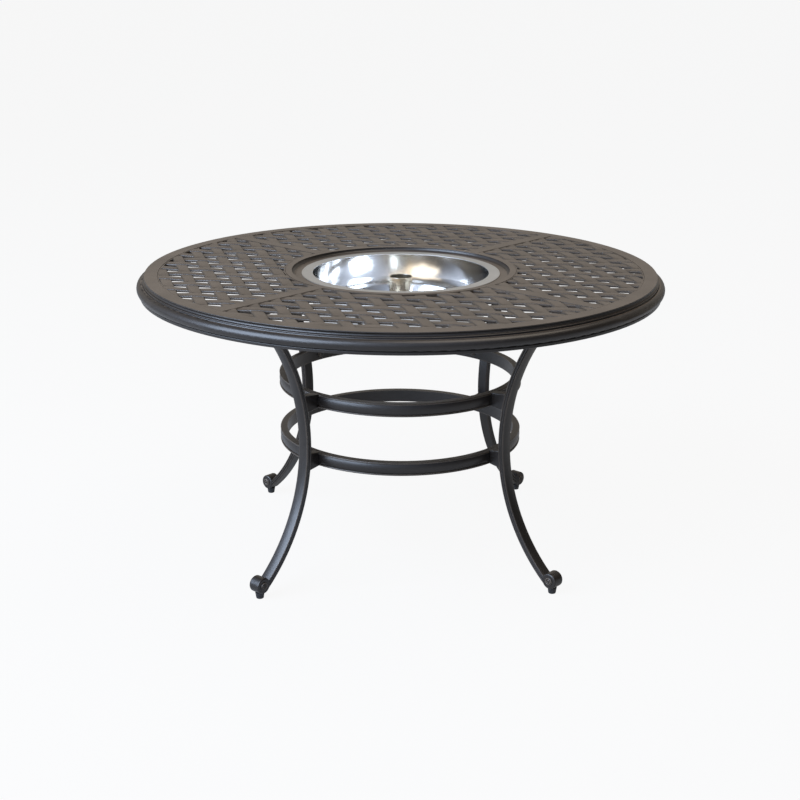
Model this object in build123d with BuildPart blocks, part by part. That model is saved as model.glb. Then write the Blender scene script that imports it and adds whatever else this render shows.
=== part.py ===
"""Round cast-aluminium patio table with a lift-out ice bucket round an umbrella sleeve.

Millimetres, +Z up, origin on the floor under the table's axis. The legs stand at 45 degrees to X and Y.
"""
from build123d import *
from math import asin, atan2, ceil, cos, degrees, radians, sin, sqrt
import os

os.makedirs("parts", exist_ok=True)

# Overall sizes
top_diameter = 1320
top_height = 737
leg_count = 4
first_leg_angle = 45

# Fits
joint_gap = 0.8
fit_clearance = 0.05
bolt_clearance = 0.2

# Weave panels: two families of strips that cross, with a window between each four
panel_thickness = 7
weave_pitch = 61
weave_angle = 67
strip_width = 28
panel_border = 3
least_window_area = 30

# Rim, as radial widths and as depths below the top face
rim_band_width = 33
rim_moulding_width = 19
rim_depth = 48
nose_depth = 2.5
nose_edge_radius = 1
cove_inset = 3
cove_width = 1.5
cove_depth = 10.5
bead_height = 3
bead_width = 2
roll_top_depth = 15.5
roll_height = 25
roll_bottom_inset = 10
lip_inset = 7.5
rim_wall = 9
lip_edge_radius = 1.5

# Ledges of the rim, the collar and the spoke bars that carry the panels
ledge_width = 14
ledge_thickness = 6

# Spoke bars
spoke_width = 32
rib_width = 30
rib_depth = 9

# Collar and ice bucket
flange_radius = 250
flange_side_clearance = 1.5
seat_depth = 9.5
mouth_radius = 224
collar_seat_width = 16
collar_cove_width = 23.5
collar_cove_round = 7.5
collar_band_width = 16
collar_skirt_depth = 22
bucket_sheet = 1.5
bucket_depth = 165
bucket_floor_radius = 118

# Umbrella sleeve
sleeve_bore_radius = 27
sleeve_wall = 2
sleeve_top_depth = 20
sleeve_tail = 12

# Legs: a bar bent in two arcs that meet at the waist
waist_radius = 345
waist_height = 352
leg_width = 31
leg_depth = 17
leg_crown = 1.5
leg_outer_chamfer = 1.5
leg_inner_chamfer = 2.5
leg_bead = 6.5
leg_groove_depth = 2
plate_length = 112
plate_width = 44
plate_thickness = 8
plate_corner_radius = 8
plate_bolt_spacing = 82
plate_inset = 106.5

# Feet and glides
foot_radius = 505
roll_radius = 20
roll_flat_depth = 1
roll_extra_width = 2
roll_edge_radius = 4
roundel_radius = 11
roundel_height = 1.5
roundel_edge = 0.8
glide_height = 16
glide_top_radius = 11.5
glide_bottom_radius = 9
glide_edge = 2
stud_radius = 4
stud_embedment = 10
stud_engagement = 14
insert_wall = 2.5
insert_length = 24
insert_pocket_spare = 4
glide_travel = 8

# Stretcher rings and their bosses
ring_leg_gap = 25
ring_thickness = 18
ring_height = 33
ring_bead = 4.5
ring_bead_groove = 2.5
upper_ring_height = 458
lower_ring_height = 309
boss_width = 23
boss_root_height = 30
boss_height = 46
boss_inner_stand = 0.5
boss_saddle = 8
boss_edge_radius = 2

# Bolts and washers
bolt_radius = 4
bolt_head_radius = 7.5
bolt_head_height = 5
bolt_hole_spare = 2
hex_head_width = 13
leg_bolt_thread = 15
washer_radius = 9
washer_thickness = 1.6

# Places worked out from the sizes above
top_radius = top_diameter / 2
rim_joint_radius = top_radius - rim_moulding_width - rim_band_width
rim_flat_radius = top_radius - rim_moulding_width
collar_wall_radius = flange_radius + flange_side_clearance
collar_joint_radius = collar_wall_radius + collar_cove_width + collar_band_width
panel_bottom = top_height - panel_thickness
ledge_bottom = panel_bottom - ledge_thickness
spoke_bottom = ledge_bottom - rib_depth
seat_height = top_height - seat_depth
bucket_bottom = seat_height - bucket_depth
sleeve_radius = sleeve_bore_radius + sleeve_wall
sleeve_top = top_height - sleeve_top_depth
sleeve_bottom = bucket_bottom - sleeve_tail
leg_spacing = 360 / leg_count
leg_angles = [first_leg_angle + leg_spacing * k for k in range(leg_count)]
ring_outer_radius = waist_radius - leg_depth / 2 - ring_leg_gap
ring_inner_radius = ring_outer_radius - ring_thickness
boss_inner_radius = ring_inner_radius - boss_inner_stand
roll_height_center = glide_height + roll_radius - roll_flat_depth
insert_radius = stud_radius + fit_clearance + insert_wall
stud_reach = stud_engagement + glide_travel
plate_bottom = spoke_bottom - plate_thickness
plate_middle = spoke_bottom - plate_thickness / 2
plate_radius = rim_joint_radius - plate_inset
head_rise = plate_middle - waist_height
head_reach = plate_radius - waist_radius
upper_bend_radius = (head_reach**2 + head_rise**2) / (2 * head_reach)
head_turn = degrees(asin(head_rise / upper_bend_radius))
foot_drop = waist_height - roll_height_center
foot_reach = foot_radius - waist_radius
roll_offset = roll_radius - leg_depth / 2
lower_bend_radius = (foot_reach**2 + foot_drop**2 - roll_offset**2) / (2 * (foot_reach - roll_offset))
foot_turn = degrees(atan2(foot_drop, lower_bend_radius - foot_reach))


def save(shape, name):
    """Label a finished piece and write it as its own file."""
    shape.label = name
    export_step(shape, f"parts/{name}.step")


def at(radius, depth):
    """Point of a turned profile, from its radius and its depth below the table's top face."""
    return (radius, top_height - depth)


def polar(radius, angle):
    """Point of the plan, from its radius and its angle in degrees."""
    return (radius * cos(radians(angle)), radius * sin(radians(angle)))


def leg_center_radius(height):
    """Radius of the leg's centre line at a height."""
    bend = upper_bend_radius if height > waist_height else lower_bend_radius
    return waist_radius + bend - sqrt(bend**2 - (height - waist_height) ** 2)


# Rim: flat band with a nose, cove, bead, large roll and lip outside, a ledge for the panels inside
roll_bottom_depth = roll_top_depth + roll_height
bead_bottom_depth = cove_depth + bead_height
cove_radius = rim_flat_radius + cove_width
roll_root_radius = cove_radius + bead_width / 2
lip_radius = top_radius - lip_inset
with BuildPart() as rim:
    with BuildSketch(Plane.XZ):
        with BuildLine():
            Line(at(rim_joint_radius, 0), at(rim_flat_radius, 0))
            Line(at(rim_flat_radius, 0), at(rim_flat_radius, nose_depth))
            cove_turn = at(rim_flat_radius - cove_inset, (nose_depth + cove_depth) / 2)
            ThreePointArc(at(rim_flat_radius, nose_depth), cove_turn, at(cove_radius, cove_depth))
            bead_turn = at(cove_radius + bead_width, cove_depth + bead_height / 2)
            ThreePointArc(at(cove_radius, cove_depth), bead_turn, at(cove_radius, bead_bottom_depth))
            Line(at(cove_radius, bead_bottom_depth), at(roll_root_radius, roll_top_depth))
            roll_turn = at(top_radius, roll_top_depth + roll_height / 2)
            roll_end = at(top_radius - roll_bottom_inset, roll_bottom_depth)
            TangentArc(roll_turn, at(roll_root_radius, roll_top_depth), tangent=(0, 1))
            TangentArc(roll_turn, roll_end, tangent=(0, -1))
            Line(roll_end, at(lip_radius, roll_bottom_depth))
            Line(at(lip_radius, roll_bottom_depth), at(lip_radius, rim_depth))
            Line(at(lip_radius, rim_depth), at(lip_radius - rim_wall, rim_depth))
            wall_top = at(rim_flat_radius - rim_wall / 2, panel_thickness + ledge_thickness)
            Line(at(lip_radius - rim_wall, rim_depth), wall_top)
            Line(wall_top, at(rim_joint_radius - ledge_width, panel_thickness + ledge_thickness))
            Line(
                at(rim_joint_radius - ledge_width, panel_thickness + ledge_thickness),
                at(rim_joint_radius - ledge_width, panel_thickness),
            )
            Line(at(rim_joint_radius - ledge_width, panel_thickness), at(rim_joint_radius, panel_thickness))
            Line(at(rim_joint_radius, panel_thickness), at(rim_joint_radius, 0))
        make_face()
    revolve(axis=Axis.Z)
    circles = rim.edges().filter_by(GeomType.CIRCLE)
    bottom_edges = circles.group_by(Axis.Z)[0]
    lip_top_edge = circles.group_by(Axis.Z)[1].sort_by(SortBy.RADIUS)[-1]
    fillet(bottom_edges + lip_top_edge, lip_edge_radius)
    nose_edge = rim.edges().filter_by(GeomType.CIRCLE).group_by(Axis.Z)[-1].sort_by(SortBy.RADIUS)[-1]
    fillet(nose_edge, nose_edge_radius)
save(rim.part, "table_rim")

# Collar: a steep cove from the top face down to a flat floor, level with the seat of the bucket's flange
collar_cove_radius = collar_wall_radius + collar_cove_width
collar_inner_radius = flange_radius - collar_seat_width
with BuildPart() as collar:
    with BuildSketch(Plane.XZ):
        with BuildLine():
            cove_start = at(collar_wall_radius, seat_depth)
            cove_floor_end = at(collar_cove_radius - collar_cove_round, seat_depth)
            cove_wall_foot = at(collar_cove_radius, seat_depth - collar_cove_round)
            Line(cove_start, cove_floor_end)
            TangentArc(cove_floor_end, cove_wall_foot, tangent=(1, 0))
            Polyline(
                cove_wall_foot,
                at(collar_cove_radius, 0),
                at(collar_joint_radius, 0),
                at(collar_joint_radius, panel_thickness),
                at(collar_joint_radius + ledge_width, panel_thickness),
                at(collar_joint_radius + ledge_width, panel_thickness + ledge_thickness),
                at(collar_joint_radius, panel_thickness + ledge_thickness),
                at(collar_joint_radius, collar_skirt_depth),
                at(collar_inner_radius, collar_skirt_depth),
                at(collar_inner_radius, seat_depth),
                cove_start,
            )
        make_face()
    revolve(axis=Axis.Z)
save(collar.part, "bucket_collar")

# Ice bucket: a flange and an upright wall, welded to a bowl with a hole for the sleeve in its floor
turn_radius = mouth_radius - bucket_floor_radius
wall_bottom_depth = seat_depth + bucket_depth - turn_radius
floor_depth = seat_depth + bucket_depth
hole_radius = sleeve_radius + fit_clearance
wall_inner_radius = mouth_radius - bucket_sheet
with BuildPart() as flange:
    with BuildSketch(Plane.XY.offset(seat_height)):
        Circle(flange_radius)
        Circle(wall_inner_radius, mode=Mode.SUBTRACT)
    extrude(amount=bucket_sheet)
save(flange.part, "bucket_flange")

with BuildPart() as wall:
    with BuildSketch(Plane.XY.offset(top_height - wall_bottom_depth)):
        Circle(mouth_radius)
        Circle(wall_inner_radius, mode=Mode.SUBTRACT)
    extrude(amount=wall_bottom_depth - seat_depth)
save(wall.part, "bucket_wall")

with BuildPart() as bowl:
    with BuildSketch(Plane.XZ):
        with BuildLine():
            Line(at(mouth_radius, wall_bottom_depth), at(wall_inner_radius, wall_bottom_depth))
            TangentArc(
                at(mouth_radius, wall_bottom_depth), at(bucket_floor_radius, floor_depth), tangent=(0, -1)
            )
            TangentArc(
                at(wall_inner_radius, wall_bottom_depth),
                at(bucket_floor_radius, floor_depth - bucket_sheet),
                tangent=(0, -1),
            )
            Polyline(
                at(bucket_floor_radius, floor_depth),
                at(hole_radius, floor_depth),
                at(hole_radius, floor_depth - bucket_sheet),
                at(bucket_floor_radius, floor_depth - bucket_sheet),
            )
        make_face()
    revolve(axis=Axis.Z)
save(bowl.part, "ice_bucket")

# Umbrella sleeve: a tube through the bucket's floor
with BuildPart() as sleeve:
    with BuildSketch(Plane.XY.offset(sleeve_bottom)):
        Circle(sleeve_radius)
        Circle(sleeve_bore_radius, mode=Mode.SUBTRACT)
    extrude(amount=sleeve_top - sleeve_bottom)
    rim_edges = sleeve.edges().group_by(Axis.Z)[-1]
    fillet(rim_edges, sleeve_wall / 4)
save(sleeve.part, "umbrella_sleeve")

# Leg, made along +X: a grooved bar that curls into a scroll foot with roundels, and a plate for the bolts
leg_half = leg_width / 2
leg_inner_face = waist_radius - leg_depth / 2
leg_outer_face = waist_radius + leg_depth / 2
leg_crown_foot = leg_outer_face - leg_crown
roll_half = (leg_width + roll_extra_width) / 2
foot_plane = Plane((foot_radius, 0, glide_height))
ring_heights = (upper_ring_height, lower_ring_height)
bolt_hole_radius = bolt_radius + bolt_clearance
bolt_seat_radius = boss_inner_radius - washer_thickness
with BuildSketch(Plane.XY.offset(waist_height)) as section:
    with BuildLine():
        face_end = (leg_crown_foot, leg_half - leg_outer_chamfer)
        Polyline(
            face_end,
            (leg_crown_foot - leg_outer_chamfer, leg_half),
            (leg_inner_face + leg_inner_chamfer, leg_half),
            (leg_inner_face, leg_half - leg_inner_chamfer),
            (leg_inner_face, 0),
        )
        mirror(about=Plane.XZ)
        ThreePointArc(face_end, (leg_outer_face, 0), (leg_crown_foot, leg_outer_chamfer - leg_half))
    make_face()
    with Locations((waist_radius, 0)):
        with GridLocations(leg_bead, leg_width, 2, 2):
            RegularPolygon(leg_groove_depth, 4, mode=Mode.SUBTRACT)
with BuildSketch(Plane.XY.offset(roll_height_center)) as roll_section:
    with Locations((foot_radius, 0)):
        RectangleRounded(2 * roll_radius, 2 * roll_half, roll_edge_radius)
        Rectangle(2 * roundel_radius, 2 * (roll_half + roundel_height))
    with Locations((foot_radius + roll_radius, 0)):
        Rectangle(2 * roll_radius, 4 * roll_half, mode=Mode.SUBTRACT)
with BuildPart() as leg:
    upper_axis = Axis((waist_radius + upper_bend_radius, 0, waist_height), (0, 1, 0))
    lower_axis = Axis((waist_radius + lower_bend_radius, 0, waist_height), (0, -1, 0))
    revolve(section.sketch, axis=upper_axis, revolution_arc=head_turn)
    revolve(section.sketch, axis=lower_axis, revolution_arc=foot_turn)
    revolve(roll_section.sketch, axis=Axis((foot_radius, 0, roll_height_center), (0, 1, 0)))
    side_faces = leg.faces().filter_by(Axis.Y).sort_by(Axis.Y)
    roundel_rims = side_faces[0].outer_wire().edges() + side_faces[-1].outer_wire().edges()
    fillet(roundel_rims, roundel_edge)
    with BuildSketch(Plane.XY.offset(plate_bottom)):
        with Locations((plate_radius, 0)):
            RectangleRounded(plate_length, plate_width, plate_corner_radius)
    extrude(amount=plate_thickness)
    split(bisect_by=Plane.XY.offset(spoke_bottom), keep=Keep.BOTTOM)
    with BuildSketch(foot_plane):
        Rectangle(2 * roll_radius, 2 * leg_width)
    extrude(amount=-roll_radius, mode=Mode.SUBTRACT)
    with BuildSketch(foot_plane):
        Circle(insert_radius)
    extrude(amount=insert_length + insert_pocket_spare, mode=Mode.SUBTRACT)
    with BuildSketch(Plane.XY.offset(plate_bottom)):
        with Locations((plate_radius, 0)):
            with GridLocations(plate_bolt_spacing, 1, 2, 1):
                Circle(bolt_hole_radius)
    extrude(amount=plate_thickness, mode=Mode.SUBTRACT)
    for height in ring_heights:
        with BuildSketch(Plane.YZ.offset(bolt_seat_radius)):
            with Locations((0, height)):
                Circle(bolt_hole_radius)
        hole_end = leg_center_radius(height) + bolt_hole_spare
        extrude(amount=hole_end - bolt_seat_radius, mode=Mode.SUBTRACT)
legs = [leg.part.rotate(Axis.Z, angle) for angle in leg_angles]
for index, shape in enumerate(legs, start=1):
    save(shape, f"leg_{index}")

# Spoke bars, made along +X: face bar on the ledges, ledge for the panels, and a rib for the leg's bolts
ledge_clear_inner = collar_joint_radius + ledge_width + joint_gap
ledge_clear_outer = rim_joint_radius - ledge_width - joint_gap
spoke_ledge_width = spoke_width + 2 * ledge_width


def spoke_layer(plane, width, inner, outer):
    """Bar along +X of one width, with ends turned to two radii."""
    with BuildSketch(plane) as layer:
        Circle(outer)
        Circle(inner, mode=Mode.SUBTRACT)
        with Locations((outer / 2, 0)):
            Rectangle(outer, width, mode=Mode.INTERSECT)
    return layer.sketch


with BuildPart() as spoke:
    add(
        spoke_layer(
            Plane.XY.offset(panel_bottom),
            spoke_width,
            collar_joint_radius + joint_gap,
            rim_joint_radius - joint_gap,
        )
    )
    extrude(amount=panel_thickness)
    add(spoke_layer(Plane.XY.offset(ledge_bottom), spoke_ledge_width, ledge_clear_inner, ledge_clear_outer))
    extrude(amount=ledge_thickness)
    add(spoke_layer(Plane.XY.offset(spoke_bottom), rib_width, ledge_clear_inner, ledge_clear_outer))
    extrude(amount=rib_depth)
    with BuildSketch(Plane.XY.offset(spoke_bottom)):
        with Locations((plate_radius, 0)):
            with GridLocations(plate_bolt_spacing, 1, 2, 1):
                Circle(bolt_hole_radius)
    extrude(amount=leg_bolt_thread + bolt_hole_spare, mode=Mode.SUBTRACT)
for index, angle in enumerate(leg_angles, start=1):
    save(spoke.part.rotate(Axis.Z, angle), f"spoke_bar_{index}")

# Weave panels: the windows lie on one lattice over the whole top, symmetric about the spoke bars
half_angle = weave_angle / 2
strip_a = Vector(*polar(weave_pitch, -first_leg_angle + half_angle))
strip_b = Vector(*polar(weave_pitch, -first_leg_angle - half_angle))
window_side = weave_pitch - strip_width / sin(radians(weave_angle))
corner_a = strip_a * (window_side / weave_pitch / 2)
corner_b = strip_b * (window_side / weave_pitch / 2)
window_corners = [corner_a + corner_b, corner_a - corner_b, -corner_a - corner_b, corner_b - corner_a]
window_reach = corner_a.length + corner_b.length
lattice_count = ceil(rim_joint_radius / (weave_pitch * sin(radians(half_angle))))
steps = range(-lattice_count, lattice_count + 1)
window_places = [strip_a * i + strip_b * j for i in steps for j in steps]


def quarter(direction, border):
    """Plan of one panel, between two spoke bars, the collar and the rim, drawn in by a border."""
    side = spoke_width / 2 + joint_gap + border
    corner = Vector(*polar(side * sqrt(2), direction))
    edge_low = Vector(*polar(top_diameter, direction - leg_spacing / 2))
    edge_high = Vector(*polar(top_diameter, direction + leg_spacing / 2))
    with BuildSketch() as outline:
        Circle(rim_joint_radius - joint_gap - border)
        Circle(collar_joint_radius + joint_gap + border, mode=Mode.SUBTRACT)
        with BuildLine():
            Polyline(corner, corner + edge_low, corner + edge_low + edge_high, corner + edge_high, close=True)
        make_face(mode=Mode.INTERSECT)
    return outline.sketch


def windows(direction):
    """Windows of one panel, cut off at its border, without the ones that would be mere slits."""
    middle = Vector(*polar(1, direction))
    least = (collar_joint_radius - window_reach) * cos(radians(leg_spacing / 2))
    near = [place for place in window_places if place.dot(middle) > least]
    reach = rim_joint_radius + window_reach
    inside = [place for place in near if place.length < reach]
    with BuildSketch() as openings:
        with Locations(*inside):
            Polygon(*window_corners, align=None)
        add(quarter(direction, panel_border), mode=Mode.INTERSECT)
    return [face for face in openings.faces() if face.area > least_window_area]


for index, angle in enumerate(leg_angles, start=1):
    panel_direction = angle - leg_spacing / 2
    with BuildPart() as panel:
        with BuildSketch(Plane.XY.offset(panel_bottom)):
            add(quarter(panel_direction, 0))
            add(windows(panel_direction), mode=Mode.SUBTRACT)
        extrude(amount=panel_thickness)
    save(panel.part, f"lattice_panel_{index}")


def boss_plane(angle, height):
    """Plane on a boss's inner face, square to the leg's direction, with its x along the ring."""
    origin = polar(boss_inner_radius, angle) + (height,)
    return Plane(origin, x_dir=polar(1, angle + 90) + (0,), z_dir=polar(1, angle) + (0,))


# Stretcher rings: moulded section with a boss at each leg that widens towards it and fits its inner face
for name, height in (("ring_upper", upper_ring_height), ("ring_lower", lower_ring_height)):
    half = ring_height / 2
    saddle_radius = leg_center_radius(height) - leg_depth / 2 + boss_saddle
    boss_length = saddle_radius - boss_inner_radius
    with BuildPart() as ring:
        with BuildSketch(Plane.XZ):
            with BuildLine():
                bead_root = ring_outer_radius - ring_bead_groove
                upper_groove = (bead_root, height + half - ring_bead)
                lower_groove = (bead_root, height - half + ring_bead)
                ThreePointArc(lower_groove, (ring_outer_radius, height), upper_groove)
                upper_bead = (ring_outer_radius, height + half - ring_bead / 2)
                lower_bead = (ring_outer_radius, height - half + ring_bead / 2)
                ThreePointArc(upper_groove, upper_bead, (bead_root, height + half))
                ThreePointArc(lower_groove, lower_bead, (bead_root, height - half))
                Polyline(
                    (bead_root, height + half),
                    (ring_inner_radius, height + half),
                    (ring_inner_radius, height - half),
                    (bead_root, height - half),
                )
            make_face()
        revolve(axis=Axis.Z)
        for angle in leg_angles:
            with BuildSketch(boss_plane(angle, height)):
                RectangleRounded(boss_width, boss_root_height, boss_edge_radius)
            with BuildSketch(boss_plane(angle, height).offset(boss_length)):
                RectangleRounded(boss_width, boss_height, boss_edge_radius)
            loft()
        for shape in legs:
            add(shape, mode=Mode.SUBTRACT)
        for angle in leg_angles:
            with BuildSketch(boss_plane(angle, height)):
                Circle(bolt_hole_radius)
            extrude(amount=boss_length, mode=Mode.SUBTRACT)
    save(ring.part, name)

# Ring bolts and washers: one at each leg and ring, with domed heads on the inside
for name, height in (("ring_upper_bolts", upper_ring_height), ("ring_lower_bolts", lower_ring_height)):
    bolt_plane = Plane.YZ.offset(bolt_seat_radius)
    with BuildPart() as ring_bolt:
        with BuildSketch(bolt_plane):
            with Locations((0, height)):
                Circle(bolt_radius)
        extrude(amount=leg_center_radius(height) - bolt_seat_radius)
        with BuildSketch(bolt_plane):
            with Locations((0, height)):
                Circle(bolt_head_radius)
        extrude(amount=-bolt_head_height)
        dome_edge = ring_bolt.edges().filter_by(GeomType.CIRCLE).group_by(Axis.X)[0]
        fillet(dome_edge, bolt_head_height / 2)
    save(Compound(children=[ring_bolt.part.rotate(Axis.Z, angle) for angle in leg_angles]), name)
with BuildPart() as ring_washer:
    with BuildSketch(Plane.YZ.offset(bolt_seat_radius)):
        Circle(washer_radius)
        Circle(bolt_hole_radius, mode=Mode.SUBTRACT)
    extrude(amount=washer_thickness)
washer_copies = [
    ring_washer.part.moved(Location((0, 0, height))).rotate(Axis.Z, angle)
    for height in ring_heights
    for angle in leg_angles
]
save(Compound(children=washer_copies), "ring_washers")

# Leg bolts and washers: two up through each leg's plate into the rib of its spoke bar
head_top = plate_bottom - washer_thickness
with BuildPart() as leg_bolt:
    with BuildSketch(Plane.XY.offset(head_top)):
        RegularPolygon(hex_head_width / 2, 6, major_radius=False)
    extrude(amount=-bolt_head_height)
    with BuildSketch(Plane.XY.offset(head_top)):
        Circle(bolt_radius)
    extrude(amount=washer_thickness + plate_thickness + leg_bolt_thread)
with BuildPart() as leg_washer:
    with BuildSketch(Plane.XY.offset(head_top)):
        Circle(washer_radius)
        Circle(bolt_hole_radius, mode=Mode.SUBTRACT)
    extrude(amount=washer_thickness)
plate_bolt_radii = (plate_radius - plate_bolt_spacing / 2, plate_radius + plate_bolt_spacing / 2)
for source, name in ((leg_bolt, "leg_bolts"), (leg_washer, "leg_washers")):
    copies = [
        source.part.moved(Location((radius, 0, 0))).rotate(Axis.Z, angle)
        for angle in leg_angles
        for radius in plate_bolt_radii
    ]
    save(Compound(children=copies), name)

# Foot inserts, glide pads and glide studs, made under the foot on +X
with BuildPart() as insert:
    with BuildSketch(foot_plane):
        Circle(insert_radius)
        Circle(stud_radius + fit_clearance, mode=Mode.SUBTRACT)
    extrude(amount=insert_length)
save(Compound(children=[insert.part.rotate(Axis.Z, angle) for angle in leg_angles]), "foot_inserts")

pad_plane = Plane((foot_radius, 0, 0))
with BuildPart() as pad:
    with BuildSketch(pad_plane):
        Circle(glide_bottom_radius)
    with BuildSketch(pad_plane.offset(glide_height)):
        Circle(glide_top_radius)
    loft()
    fillet(pad.edges().group_by(Axis.Z)[0], glide_edge)
    with BuildSketch(pad_plane.offset(glide_height)):
        Circle(stud_radius + fit_clearance)
    extrude(amount=-stud_embedment, mode=Mode.SUBTRACT)
with BuildPart() as stud:
    with BuildSketch(pad_plane.offset(glide_height - stud_embedment)):
        Circle(stud_radius)
    extrude(amount=stud_embedment + stud_reach)
    chamfer(stud.edges().group_by(Axis.Z)[-1], stud_radius / 4)
for index, angle in enumerate(leg_angles, start=1):
    save(pad.part.rotate(Axis.Z, angle), f"glide_pad_{index}")
    save(stud.part.rotate(Axis.Z, angle), f"glide_stud_{index}")
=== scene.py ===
from math import asin, cos, pi, radians, sin, sqrt

import bmesh
import bpy
from mathutils import Matrix, Vector


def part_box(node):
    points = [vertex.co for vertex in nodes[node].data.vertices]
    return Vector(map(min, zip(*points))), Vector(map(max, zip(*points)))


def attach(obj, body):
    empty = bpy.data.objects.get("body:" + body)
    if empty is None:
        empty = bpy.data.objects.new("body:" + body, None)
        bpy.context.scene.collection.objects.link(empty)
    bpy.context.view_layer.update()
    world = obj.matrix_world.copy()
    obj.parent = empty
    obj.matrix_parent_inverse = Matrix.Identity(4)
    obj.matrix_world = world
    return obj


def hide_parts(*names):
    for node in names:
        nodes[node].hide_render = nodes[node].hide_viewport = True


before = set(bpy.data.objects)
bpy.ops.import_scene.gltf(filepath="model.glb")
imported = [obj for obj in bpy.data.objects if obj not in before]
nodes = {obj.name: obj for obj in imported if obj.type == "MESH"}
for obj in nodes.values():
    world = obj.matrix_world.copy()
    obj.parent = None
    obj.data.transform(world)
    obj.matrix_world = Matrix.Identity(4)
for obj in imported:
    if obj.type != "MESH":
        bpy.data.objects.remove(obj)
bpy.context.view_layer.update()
quarters = range(1, 5)

# Sizes of the top's joints and weave, in metres as all lengths here
weave_pitch = 0.061
weave_angle = radians(67)
strip_width = 0.028
strip_relief = 0.0020
strip_edge_round = 0.0036
strip_edge_drop = 0.0022
panel_border = 0.003
border_drop = 0.0007
spoke_half_width = 0.016
joint_gap = 0.0008
collar_joint_radius = 0.291
rim_joint_radius = 0.608
panel_low, panel_high = (corner.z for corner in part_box("lattice_panel_1"))
window_foot = 0.0007
edge_shares = (0.0, 0.5, 0.85, 1.0)
arc_steps = 72
cut_margin = 0.01

# Scroll feet
first_leg_angle = 45
leg_spacing = 90
foot_radius = 0.505
roll_radius = 0.020
roll_flat_depth = 0.001
foot_half_width = 0.018
spiral_outer = 0.0092
spiral_inner = 0.0022
spiral_turns = 1.75
spiral_bead = 0.0015
spiral_taper = 0.35
spiral_steps = 72
bead_sides = 8

# Angles in degrees above which an edge stays sharp
cad_sharp_angle = 35
weave_sharp_angle = 40
spiral_sharp_angle = 50

# Cast coat: how far a face lies flat, and between which heights, for it to get the painted top light of
# lighter bronze
flat_start = 0.965
flat_full = 0.998
any_height = (-1.0, 0.0)
weave_fade = 0.0030
cavity_samples = 6

# Room light
dim_direction = (0.92, -0.38, -0.10)
dim_start = 0.00
dim_full = 0.80
dim_share = 0.35
cool_direction = (-0.62, -0.76, 0.18)
cool_start = -0.25
cool_full = 0.65
warm_white = (0.40, 0.37, 0.33, 1.0)
cool_white = (0.78, 0.90, 1.15, 1.0)
room_strength = 0.25
floor_radius = 60.0
floor_sides = 96
floor_greys = (0.42, 0.45)
floor_white_share = 0.92
floor_mirror_share = 0.25

# Lamps
lamp_target = (0.0, 0.0, 0.7)
window_place = (-4.4, -2.5, 3.4)
window_size = (5.5, 5.0)
window_power = 780
window_colour = (0.66, 0.79, 1.0)
ceiling_place = (1.7, -0.3, 5.5)
ceiling_size = (4.0, 4.0)
ceiling_power = 130
ceiling_colour = (1.0, 0.88, 0.74)

# Camera, as fitted to the photograph
camera_place = (-0.1741, -3.5213, 1.4895)
camera_turn = 0.0492
camera_pitch = 0.3028
camera_roll = 0.0040
camera_lens = 63.88
camera_sensor = 36.0
camera_reach = 200.0


def new_piece(name, mesh, body):
    """A finished mesh as a piece that rides on a body of the frame."""
    piece = bpy.data.objects.new(name, mesh)
    bpy.context.scene.collection.objects.link(piece)
    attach(piece, body)
    return piece


def smooth(mesh, angle):
    """Smooth shading with sharp edges above an angle in degrees."""
    mesh.shade_smooth()
    mesh.set_sharp_from_angle(angle=radians(angle))


# Materials
def node_tree(name):
    """New material with its node tree, its shader and a source of object coordinates."""
    material = bpy.data.materials.new(name)
    material.use_nodes = True
    tree = material.node_tree
    shader = tree.nodes["Principled BSDF"]
    coordinates = tree.nodes.new("ShaderNodeTexCoord").outputs["Object"]
    return material, tree, shader, coordinates


def noise(tree, coordinates, scale, detail=4.0, roughness=0.55):
    """Noise texture over object coordinates."""
    texture = tree.nodes.new("ShaderNodeTexNoise")
    texture.inputs["Scale"].default_value = scale
    texture.inputs["Detail"].default_value = detail
    texture.inputs["Roughness"].default_value = roughness
    tree.links.new(coordinates, texture.inputs["Vector"])
    return texture.outputs["Fac"]


def ramp(tree, factor, stops):
    """Colour ramp from (position, colour) stops."""
    node = tree.nodes.new("ShaderNodeValToRGB")
    elements = node.color_ramp.elements
    while len(elements) < len(stops):
        elements.new(0.5)
    for element, (position, colour) in zip(elements, stops):
        element.position = position
        element.color = (*colour, 1.0)
    tree.links.new(factor, node.inputs["Fac"])
    return node.outputs["Color"]


def spread(tree, factor, low, high):
    """Factor from 0 to 1 spread over a range of values."""
    node = tree.nodes.new("ShaderNodeMapRange")
    node.inputs["To Min"].default_value = low
    node.inputs["To Max"].default_value = high
    tree.links.new(factor, node.inputs["Value"])
    return node.outputs["Result"]


def smooth_share(tree, value, start, full):
    """Share that goes smoothly from 0 at one value to 1 at another."""
    node = tree.nodes.new("ShaderNodeMapRange")
    node.interpolation_type = "SMOOTHSTEP"
    node.inputs["From Min"].default_value = start
    node.inputs["From Max"].default_value = full
    tree.links.new(value, node.inputs["Value"])
    return node.outputs["Result"]


def bump(tree, height, distance, strength, under=None):
    """Bump from a height, on top of another bump's normal where one is given."""
    node = tree.nodes.new("ShaderNodeBump")
    node.inputs["Distance"].default_value = distance
    node.inputs["Strength"].default_value = strength
    tree.links.new(height, node.inputs["Height"])
    if under:
        tree.links.new(under, node.inputs["Normal"])
    return node.outputs["Normal"]


def mix_colour(tree, factor, first, second, blend="MIX"):
    """Mix of two colour sockets by a factor socket."""
    node = tree.nodes.new("ShaderNodeMix")
    node.data_type = "RGBA"
    node.blend_type = blend
    tree.links.new(factor, node.inputs["Factor"])
    tree.links.new(first, node.inputs["A"])
    tree.links.new(second, node.inputs["B"])
    return node.outputs["Result"]


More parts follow.
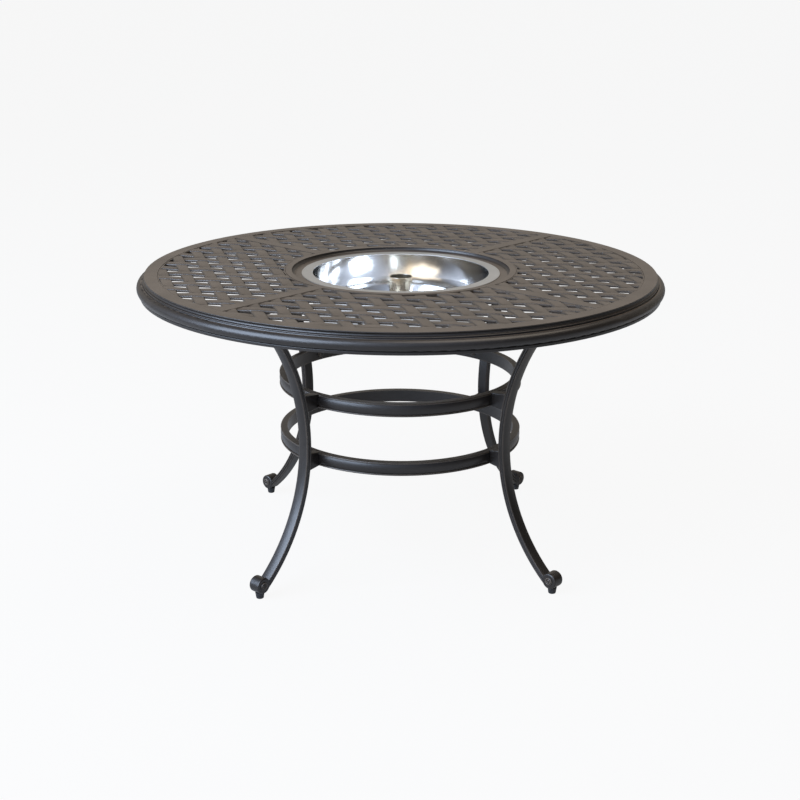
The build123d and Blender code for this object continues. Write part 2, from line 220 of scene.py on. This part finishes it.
def maths(tree, operation, first, second):
    """Two value sockets joined by an operation, kept between 0 and 1."""
    node = tree.nodes.new("ShaderNodeMath")
    node.operation = operation
    node.use_clamp = True
    tree.links.new(first, node.inputs[0])
    tree.links.new(second, node.inputs[1])
    return node.outputs["Value"]


def stretched(tree, coordinates, scale):
    """Coordinates scaled by a different amount along each axis."""
    node = tree.nodes.new("ShaderNodeMapping")
    node.inputs["Scale"].default_value = scale
    tree.links.new(coordinates, node.inputs["Vector"])
    return node.outputs["Vector"]


def up_share(tree, vector, start, full):
    """Share from 0 to 1 by the Z of a vector socket."""
    split = tree.nodes.new("ShaderNodeSeparateXYZ")
    tree.links.new(vector, split.inputs["Vector"])
    return smooth_share(tree, split.outputs["Z"], start, full)


def open_share(tree, distance, start, full):
    """Share from 0 in the recesses of a piece to 1 on its open faces."""
    cavity = tree.nodes.new("ShaderNodeAmbientOcclusion")
    cavity.only_local = True
    cavity.samples = cavity_samples
    cavity.inputs["Distance"].default_value = distance
    return smooth_share(tree, cavity.outputs["AO"], start, full)


def edge_share(tree, distance, start, full):
    """Share from 0 on a piece's flats to 1 along its outer edges."""
    inside = tree.nodes.new("ShaderNodeAmbientOcclusion")
    inside.only_local = True
    inside.inside = True
    inside.samples = cavity_samples
    inside.inputs["Distance"].default_value = distance
    return smooth_share(tree, inside.outputs["AO"], start, full)


def cast_coat(name, recess, top_lit, edge_wear_and_highlight, edge_band_width, side_lit=0.0, top_lit_heights=any_height):
    """Antique-bronze powder coat: near-black brown, with painted shade darkening recesses of a given depth.
    A share of lighter bronze is painted on its sides as painted light. That rises to another share of
    painted top light where it lies flat, from the first height to the second. Along its edges and thin
    beads it is lighter, partly wear and partly a painted highlight."""
    material, tree, shader, coordinates = node_tree(name)
    clouds = noise(tree, coordinates, 9.0, 6.0)
    dark = ramp(tree, clouds, [(0.35, (0.012, 0.0090, 0.0074)), (0.65, (0.019, 0.0142, 0.0115))])
    # Painted top light: a lighter bronze on faces that lie flat and face up, with a given share of it
    # painted on the sides
    top_lit_bronze = ramp(tree, clouds, [(0.35, (0.088, 0.0665, 0.0490)), (0.65, (0.116, 0.0880, 0.0655))])
    normal = tree.nodes.new("ShaderNodeTexCoord").outputs["Normal"]
    flat = up_share(tree, normal, flat_start, flat_full)
    high = up_share(tree, coordinates, *top_lit_heights)
    top_lit_share = spread(tree, maths(tree, "MULTIPLY", flat, high), side_lit, top_lit)
    ground = mix_colour(tree, top_lit_share, dark, top_lit_bronze)
    mottle = noise(tree, coordinates, 260.0, 4.0, 0.65)
    flecks = ramp(tree, mottle, [(0.38, (0.40, 0.40, 0.40)), (0.66, (1.0, 0.98, 0.94))])
    patches = noise(tree, coordinates, 40.0, 5.0, 0.6)
    speckled = mix_colour(tree, spread(tree, patches, 0.15, 0.65), ground, flecks, "MULTIPLY")
    # Lighter bronze along edges and thin beads: partly edge wear, partly a painted highlight
    wear_and_highlight = ramp(tree, clouds, [(0.3, (0.085, 0.0640, 0.0470)), (0.7, (0.125, 0.0960, 0.0720))])
    edges = spread(tree, edge_share(tree, edge_band_width, 0.80, 0.45), 0.0, edge_wear_and_highlight)
    edged = mix_colour(tree, edges, speckled, wear_and_highlight)
    # Painted shade: near-black darkening in recesses, masked by ambient occlusion
    recess_shade = ramp(tree, clouds, [(0.3, (0.008, 0.0065, 0.0055)), (0.7, (0.013, 0.0105, 0.0090))])
    coloured = mix_colour(tree, open_share(tree, recess, 0.40, 0.85), recess_shade, edged)
    tree.links.new(coloured, shader.inputs["Base Color"])
    tree.links.new(spread(tree, mottle, 0.24, 0.44), shader.inputs["Roughness"])
    casting = bump(tree, noise(tree, coordinates, 55.0, 3.0), 0.0012, 0.06)
    pebbles = bump(tree, noise(tree, coordinates, 1100.0, 2.0), 0.00025, 0.22, casting)
    tree.links.new(pebbles, shader.inputs["Normal"])
    shader.inputs["Specular IOR Level"].default_value = 0.55
    return material


def spun_steel(name, colour, low, high, depth):
    """Spun stainless with fine turning marks round the table's axis, its roughness between two values."""
    material, tree, shader, coordinates = node_tree(name)
    split = tree.nodes.new("ShaderNodeSeparateXYZ")
    tree.links.new(coordinates, split.inputs["Vector"])
    flat = tree.nodes.new("ShaderNodeCombineXYZ")
    tree.links.new(split.outputs["X"], flat.inputs["X"])
    tree.links.new(split.outputs["Y"], flat.inputs["Y"])
    radius = tree.nodes.new("ShaderNodeVectorMath")
    radius.operation = "LENGTH"
    tree.links.new(flat.outputs["Vector"], radius.inputs[0])
    turned = tree.nodes.new("ShaderNodeCombineXYZ")
    tree.links.new(radius.outputs["Value"], turned.inputs["X"])
    tree.links.new(split.outputs["Z"], turned.inputs["Y"])
    marks = noise(tree, turned.outputs["Vector"], 1400.0, 3.0, 0.7)
    clouds = noise(tree, coordinates, 14.0, 4.0)
    tint = ramp(tree, clouds, [(0.3, tuple(0.9 * c for c in colour)), (0.7, colour)])
    tree.links.new(tint, shader.inputs["Base Color"])
    tree.links.new(spread(tree, marks, low, high), shader.inputs["Roughness"])
    tree.links.new(bump(tree, marks, depth, 0.25), shader.inputs["Normal"])
    shader.inputs["Metallic"].default_value = 1.0
    return material


def drawn_steel(name, colour, low, high, grain):
    """Plated or drawn steel with fine grain along Z."""
    material, tree, shader, coordinates = node_tree(name)
    streaks = noise(tree, stretched(tree, coordinates, (1.0, 1.0, grain)), 900.0, 3.0, 0.65)
    clouds = noise(tree, coordinates, 60.0, 4.0)
    tint = ramp(tree, clouds, [(0.3, tuple(0.86 * c for c in colour)), (0.7, colour)])
    tree.links.new(tint, shader.inputs["Base Color"])
    tree.links.new(spread(tree, streaks, low, high), shader.inputs["Roughness"])
    tree.links.new(bump(tree, streaks, 0.00005, 0.3), shader.inputs["Normal"])
    shader.inputs["Metallic"].default_value = 1.0
    return material


def moulded_nylon():
    """Black moulded nylon with a faint grain and scuffs."""
    material, tree, shader, coordinates = node_tree("moulded_nylon")
    grain = noise(tree, coordinates, 1500.0, 2.0)
    scuffs = noise(tree, coordinates, 120.0, 6.0, 0.7)
    tint = ramp(tree, scuffs, [(0.45, (0.012, 0.012, 0.013)), (0.75, (0.032, 0.031, 0.031))])
    tree.links.new(tint, shader.inputs["Base Color"])
    tree.links.new(spread(tree, scuffs, 0.38, 0.62), shader.inputs["Roughness"])
    tree.links.new(bump(tree, grain, 0.0001, 0.2), shader.inputs["Normal"])
    return material


def dress(node, material):
    """Give a node of the frame its material and smooth shading."""
    mesh = nodes[node].data
    mesh.materials.clear()
    mesh.materials.append(material)
    smooth(mesh, cad_sharp_angle)


# The weave's painted top light lies only within its top few millimetres; its sides get half of it as
# painted light
weave_heights = (panel_high - weave_fade, panel_high)
top_coat = cast_coat("top_coat", recess=0.014, top_lit=1.0, edge_wear_and_highlight=0.5, edge_band_width=0.0025)
weave_coat = cast_coat(
    "weave_coat",
    recess=0.003,
    top_lit=1.0,
    edge_wear_and_highlight=0.0,
    edge_band_width=0.0025,
    side_lit=0.5,
    top_lit_heights=weave_heights,
)
frame_coat = cast_coat("frame_coat", recess=0.006, top_lit=0.3, edge_wear_and_highlight=1.0, edge_band_width=0.0050)
polished_steel = spun_steel("polished_steel", (0.82, 0.81, 0.79), 0.07, 0.16, 0.00002)
flange_steel = spun_steel("flange_steel", (0.78, 0.80, 0.81), 0.28, 0.46, 0.00005)
tube_steel = drawn_steel("tube_steel", (0.78, 0.73, 0.63), 0.14, 0.30, 0.02)
zinc = drawn_steel("zinc_plate", (0.56, 0.56, 0.55), 0.28, 0.50, 1.0)
brass = drawn_steel("turned_brass", (0.70, 0.52, 0.24), 0.22, 0.42, 6.0)
nylon = moulded_nylon()

for node in ["table_rim", "bucket_collar"] + [f"spoke_bar_{k}" for k in quarters]:
    dress(node, top_coat)
for k in quarters:
    dress(f"lattice_panel_{k}", weave_coat)
    dress(f"leg_{k}", frame_coat)
for node in ("ring_upper", "ring_lower", "ring_upper_bolts", "ring_lower_bolts", "ring_washers"):
    dress(node, frame_coat)
dress("ice_bucket", polished_steel)
dress("bucket_wall", polished_steel)
dress("bucket_flange", flange_steel)
dress("umbrella_sleeve", tube_steel)
for node in ["leg_bolts", "leg_washers"] + [f"glide_stud_{k}" for k in quarters]:
    dress(node, zinc)
dress("foot_inserts", brass)
for k in quarters:
    dress(f"glide_pad_{k}", nylon)


# Weave panels: two families of strips, each over and under the other in turn
half_strip = strip_width / sin(weave_angle) / 2
edge_profile = [(0.0, 0.0)]
for share in edge_shares:
    edge_offset = half_strip - strip_edge_round * (1 - share)
    edge_drop = strip_edge_drop * (1 - sqrt(1 - share**2))
    edge_profile.append((edge_offset, edge_drop))
strip_a = Vector((cos(-pi / 4 + weave_angle / 2), sin(-pi / 4 + weave_angle / 2)))
strip_b = Vector((cos(-pi / 4 - weave_angle / 2), sin(-pi / 4 - weave_angle / 2)))


def grid_lines(count):
    """Grid lines across one family, as (strip index, offset from its middle, drop of its edge or None)."""
    right = edge_profile[1:] + [(half_strip + window_foot, None)]
    left = [(-offset, drop) for offset, drop in reversed(right)]
    lines = []
    for index in range(-count, count + 1):
        lines += [(index, offset, drop) for offset, drop in left + [edge_profile[0]] + right]
        lines.append((index, weave_pitch / 2, None))
    return lines


def strip_height(index, along, phase):
    """Height of a strip's middle below the top, as it rises and dips along its length."""
    sign = phase * (-1) ** index
    return -strip_relief * (1 - sign * cos(pi * along)) / 2


def weave_point(line_u, line_v):
    """Place and height of a grid point, or None in a window. u runs along strips a, v along strips b."""
    index_u, offset_u, drop_u = line_u
    index_v, offset_v, drop_v = line_v
    along_u = index_u + offset_u / weave_pitch
    along_v = index_v + offset_v / weave_pitch
    over_a = (index_u + index_v) % 2 == 0
    if drop_v is not None and (drop_u is None or over_a):
        height = strip_height(index_v, along_u, 1) - drop_v
    elif drop_u is not None:
        height = strip_height(index_u, along_v, -1) - drop_u
    else:
        return None
    place = strip_a * ((along_u + 0.5) * weave_pitch) + strip_b * ((along_v + 0.5) * weave_pitch)
    return Vector((place.x, place.y, panel_high + height))


def quarter_loop(direction, border, steps):
    """Plan of one panel as a closed loop of points, drawn in by a border."""
    side = spoke_half_width + joint_gap + border
    loop = []
    outer_radius = rim_joint_radius - joint_gap - border
    inner_radius = collar_joint_radius + joint_gap + border
    for radius, turn in ((outer_radius, 1), (inner_radius, -1)):
        half = pi / 4 - asin(side / radius)
        for step in range(steps + 1):
            angle = direction + turn * half * (2 * step / steps - 1)
            loop.append(Vector((radius * cos(angle), radius * sin(angle))))
    return loop


def prism(bm, outer, low, high, inner=None):
    """Closed prism over a loop, or over the ring between two loops of as many points."""
    count = len(outer)
    tops = [bm.verts.new((p.x, p.y, high)) for p in outer]
    feet = [bm.verts.new((p.x, p.y, low)) for p in outer]
    for k in range(count):
        n = (k + 1) % count
        bm.faces.new((feet[k], feet[n], tops[n], tops[k]))
    if inner is None:
        bm.faces.new(tops)
        bm.faces.new(list(reversed(feet)))
        return
    inner_tops = [bm.verts.new((p.x, p.y, high)) for p in inner]
    inner_feet = [bm.verts.new((p.x, p.y, low)) for p in inner]
    for k in range(count):
        n = (k + 1) % count
        bm.faces.new((tops[k], tops[n], inner_tops[n], inner_tops[k]))
        bm.faces.new((inner_feet[k], inner_feet[n], feet[n], feet[k]))
        bm.faces.new((inner_tops[k], inner_tops[n], inner_feet[n], inner_feet[k]))


def weave_sheet(direction):
    """Closed mesh of crossing strips that covers one quarter of the top and a little more."""
    count = int(rim_joint_radius / (weave_pitch * sin(weave_angle / 2))) + 1
    lines = grid_lines(count)
    middle = Vector((cos(direction), sin(direction)))
    margin = 2 * weave_pitch
    bm = bmesh.new()
    cache = {}

    def vertex(i, j, top):
        """Vertex of a grid point on the sheet's top or bottom, made once."""
        key = (i, j, top)
        if key not in cache:
            point = weave_point(lines[i], lines[j])
            cache[key] = bm.verts.new(point if top else (point.x, point.y, panel_low))
        return cache[key]

    def wanted(i, j):
        """True where a grid square is part of a strip and near the panel."""
        strip_u = lines[i][2] is not None and lines[i + 1][2] is not None
        strip_v = lines[j][2] is not None and lines[j + 1][2] is not None
        if not (strip_u or strip_v):
            return False
        u = (lines[i][0] + 0.5) * weave_pitch + lines[i][1]
        v = (lines[j][0] + 0.5) * weave_pitch + lines[j][1]
        place = strip_a * u + strip_b * v
        near = collar_joint_radius - margin < place.length < rim_joint_radius + margin
        return near and place.dot(middle) > place.length * cos(pi / 4) - margin

    size = len(lines) - 1
    squares = {(i, j) for i in range(size) for j in range(size) if wanted(i, j)}
    for i, j in sorted(squares):
        ring = ((i, j), (i + 1, j), (i + 1, j + 1), (i, j + 1))
        bm.faces.new([vertex(x, y, True) for x, y in reversed(ring)])
        bm.faces.new([vertex(x, y, False) for x, y in ring])
        sides = (((i, j - 1), 0, 1), ((i + 1, j), 1, 2), ((i, j + 1), 2, 3), ((i - 1, j), 3, 0))
        for neighbour, a, b in sides:
            if neighbour not in squares:
                top_a, top_b = vertex(*ring[a], True), vertex(*ring[b], True)
                bm.faces.new((top_a, top_b, vertex(*ring[b], False), vertex(*ring[a], False)))
    bmesh.ops.recalc_face_normals(bm, faces=bm.faces)
    return bm


def mesh_from(bm, name):
    """Blender mesh from a bmesh, which is freed."""
    mesh = bpy.data.meshes.new(name)
    bm.to_mesh(mesh)
    bm.free()
    return mesh


def weave_panel(index):
    """One panel: strips cut to the quarter's plan, with a narrow border round it."""
    direction = (index - 1) * pi / 2
    sheet_mesh = mesh_from(weave_sheet(direction), "weave_sheet")
    cutter = bmesh.new()
    outer = quarter_loop(direction, 0.0, arc_steps)
    inner = quarter_loop(direction, panel_border, arc_steps)
    prism(cutter, outer, panel_low - cut_margin, panel_high + cut_margin)
    bmesh.ops.recalc_face_normals(cutter, faces=cutter.faces)
    sheet = bpy.data.objects.new("weave_sheet", sheet_mesh)
    knife = bpy.data.objects.new("weave_knife", mesh_from(cutter, "weave_knife"))
    for helper in (sheet, knife):
        bpy.context.scene.collection.objects.link(helper)
    cut = sheet.modifiers.new("cut", "BOOLEAN")
    cut.operation = "INTERSECT"
    cut.solver = "EXACT"
    cut.object = knife
    bpy.context.view_layer.update()
    evaluated = sheet.evaluated_get(bpy.context.evaluated_depsgraph_get())
    bm = bmesh.new()
    bm.from_mesh(evaluated.to_mesh())
    evaluated.to_mesh_clear()
    for helper in (sheet, knife):
        bpy.data.objects.remove(helper)
    prism(bm, outer, panel_low, panel_high - border_drop, inner)
    bmesh.ops.recalc_face_normals(bm, faces=bm.faces)
    mesh = mesh_from(bm, f"weave_panel_{index}")
    mesh.materials.append(weave_coat)
    smooth(mesh, weave_sharp_angle)
    piece = new_piece(f"weave_panel_{index}", mesh, "table")
    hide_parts(f"lattice_panel_{index}")


for k in quarters:
    weave_panel(k)


# Spirals on the sides of the scroll feet
def spiral_mesh(name, center, outward, across):
    """Round bead along a spiral in the plane of outward and up, its ends closed."""
    bm = bmesh.new()
    rings = []
    up = Vector((0, 0, 1))
    for step in range(spiral_steps + 1):
        share = step / spiral_steps
        angle = 2 * pi * spiral_turns * share
        radius = spiral_outer + (spiral_inner - spiral_outer) * share
        spoke = outward * cos(angle) + up * sin(angle)
        bead = spiral_bead * (1.0 - spiral_taper * share)
        ring = []
        for side in range(bead_sides):
            turn = 2 * pi * side / bead_sides
            place = center + spoke * (radius + bead * cos(turn)) + across * (bead * sin(turn))
            ring.append(bm.verts.new(place))
        rings.append(ring)
    for first, second in zip(rings, rings[1:]):
        for k in range(bead_sides):
            n = (k + 1) % bead_sides
            bm.faces.new((first[k], first[n], second[n], second[k]))
    bm.faces.new(list(reversed(rings[0])))
    bm.faces.new(rings[-1])
    bmesh.ops.recalc_face_normals(bm, faces=bm.faces)
    mesh = mesh_from(bm, name)
    mesh.materials.append(frame_coat)
    smooth(mesh, spiral_sharp_angle)
    return mesh


roll_center_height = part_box("leg_1")[0].z + roll_radius - roll_flat_depth
for k in quarters:
    leg_angle = radians(first_leg_angle + leg_spacing * (k - 1))
    outward = Vector((cos(leg_angle), sin(leg_angle), 0))
    across = Vector((-sin(leg_angle), cos(leg_angle), 0))
    for side, label in ((1, "left"), (-1, "right")):
        roll_center = outward * foot_radius + Vector((0, 0, roll_center_height))
        center = roll_center + across * (side * foot_half_width)
        name = f"foot_spiral_{k}_{label}"
        new_piece(name, spiral_mesh(name, center, outward, across), "table")


# Floor, world and lamps
def pale_floor():
    """Large pale floor that the camera sees nearly white, with the table's soft shadow on it."""
    bm = bmesh.new()
    bmesh.ops.create_circle(bm, cap_ends=True, radius=floor_radius, segments=floor_sides)
    floor = bpy.data.objects.new("floor", mesh_from(bm, "floor"))
    bpy.context.scene.collection.objects.link(floor)
    material, tree, shader, coordinates = node_tree("floor_paint")
    low, high = floor_greys
    tint = ramp(tree, noise(tree, coordinates, 0.8), [(0.3, (low, low, low)), (0.7, (high, high, high))])
    tree.links.new(tint, shader.inputs["Base Color"])
    shader.inputs["Roughness"].default_value = 0.9
    shader.inputs["Specular IOR Level"].default_value = 0.1
    white = tree.nodes.new("ShaderNodeEmission")
    path = tree.nodes.new("ShaderNodeLightPath")
    mirrored = maths(tree, "ADD", path.outputs["Is Glossy Ray"], path.outputs["Is Transmission Ray"])
    seen = spread(tree, path.outputs["Is Camera Ray"], 0.0, floor_white_share)
    share = maths(tree, "ADD", seen, spread(tree, mirrored, 0.0, floor_mirror_share))
    mix = tree.nodes.new("ShaderNodeMixShader")
    tree.links.new(share, mix.inputs["Fac"])
    tree.links.new(shader.outputs["BSDF"], mix.inputs[1])
    tree.links.new(white.outputs["Emission"], mix.inputs[2])
    tree.links.new(mix.outputs["Shader"], tree.nodes["Material Output"].inputs["Surface"])
    floor.data.materials.append(material)


def toward(tree, direction, axis, start, full):
    """Share from 0 to 1 by how far a direction turns towards an axis."""
    facing = tree.nodes.new("ShaderNodeVectorMath")
    facing.operation = "DOT_PRODUCT"
    facing.inputs[1].default_value = axis
    tree.links.new(direction, facing.inputs[0])
    return smooth_share(tree, facing.outputs["Value"], start, full)


def studio_world():
    """White for the camera. All else is lit by a pale room, cool at the front left and dim at the right."""
    world = bpy.data.worlds.new("studio")
    bpy.context.scene.world = world
    world.use_nodes = True
    tree = world.node_tree
    white = tree.nodes["Background"]
    white.inputs["Color"].default_value = (1.0, 1.0, 1.0, 1.0)
    white.inputs["Strength"].default_value = 1.0
    direction = tree.nodes.new("ShaderNodeTexCoord").outputs["Generated"]
    tint = tree.nodes.new("ShaderNodeMix")
    tint.data_type = "RGBA"
    tint.inputs["A"].default_value = warm_white
    tint.inputs["B"].default_value = cool_white
    tree.links.new(toward(tree, direction, cool_direction, cool_start, cool_full), tint.inputs["Factor"])
    dim = toward(tree, direction, dim_direction, dim_start, dim_full)
    path = tree.nodes.new("ShaderNodeLightPath")
    mirrored = maths(tree, "ADD", path.outputs["Is Glossy Ray"], path.outputs["Is Transmission Ray"])
    dimmed = spread(tree, dim, 1.0, dim_share)
    level = maths(tree, "MULTIPLY", dimmed, spread(tree, mirrored, room_strength, 1.0))
    room = tree.nodes.new("ShaderNodeBackground")
    tree.links.new(tint.outputs["Result"], room.inputs["Color"])
    tree.links.new(level, room.inputs["Strength"])
    mix = tree.nodes.new("ShaderNodeMixShader")
    tree.links.new(path.outputs["Is Camera Ray"], mix.inputs["Fac"])
    tree.links.new(room.outputs["Background"], mix.inputs[1])
    tree.links.new(white.outputs["Background"], mix.inputs[2])
    tree.links.new(mix.outputs["Shader"], tree.nodes["World Output"].inputs["Surface"])


def soft_lamp(name, place, size, power, colour):
    """Rectangular area lamp that points at the lamps' target."""
    data = bpy.data.lights.new(name, "AREA")
    data.shape = "RECTANGLE"
    data.size, data.size_y = size
    data.energy = power
    data.color = colour
    lamp = bpy.data.objects.new(name, data)
    lamp.location = place
    lamp.rotation_euler = (Vector(lamp_target) - Vector(place)).to_track_quat("-Z", "Y").to_euler()
    bpy.context.scene.collection.objects.link(lamp)


pale_floor()
studio_world()
soft_lamp("window_left", window_place, window_size, window_power, window_colour)
soft_lamp("ceiling", ceiling_place, ceiling_size, ceiling_power, ceiling_colour)


# Camera
def photo_camera():
    """Camera at the photograph's viewing angle."""
    reach = cos(camera_pitch)
    forward = Vector((sin(camera_turn) * reach, cos(camera_turn) * reach, -sin(camera_pitch)))
    level = Vector((cos(camera_turn), -sin(camera_turn), 0.0))
    upright = level.cross(forward)
    right = level * cos(camera_roll) + upright * sin(camera_roll)
    up = upright * cos(camera_roll) - level * sin(camera_roll)
    data = bpy.data.cameras.new("photo_camera")
    data.lens = camera_lens
    data.sensor_width = camera_sensor
    data.clip_end = camera_reach
    camera = bpy.data.objects.new("photo_camera", data)
    turn = Matrix((right, up, -forward)).transposed().to_4x4()
    camera.matrix_world = Matrix.Translation(camera_place) @ turn
    bpy.context.scene.collection.objects.link(camera)
    bpy.context.scene.camera = camera


photo_camera()
bpy.context.scene.view_settings.view_transform = "Standard"

bpy.context.view_layer.update()
